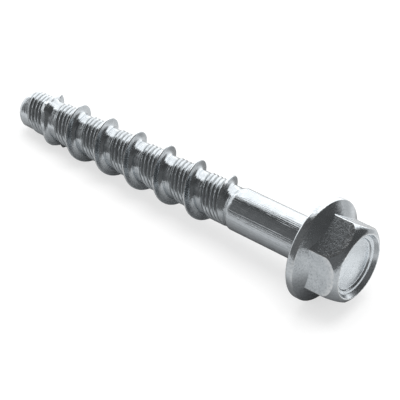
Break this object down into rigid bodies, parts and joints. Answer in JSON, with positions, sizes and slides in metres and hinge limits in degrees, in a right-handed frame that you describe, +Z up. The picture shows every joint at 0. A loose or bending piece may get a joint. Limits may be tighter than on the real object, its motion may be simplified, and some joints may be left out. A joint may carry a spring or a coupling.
{
  "type": "concrete screw",
  "caption": "Hex flange concrete screw with a plain shank, a coarse self-tapping thread with low ridges between its turns, saw-toothed thread start and rounded tip",
  "frame": {"origin": "centre of the footprint, on the floor that the screw lies on", "axes": "+X along the screw towards the head's side, the tip points to -X, +Z up; the screw's own axis leans about 4 degrees, because it rests on the flange rim and on a crest near the tip"},
  "size_m": [0.09, 0.021, 0.021],
  "materials": {
    "zinc_plate": "bright zinc-plated steel, cold formed and thread rolled"
  },
  "bodies": {
    "root": {"screw": "zinc_plate"}
  },
  "joints": []
}
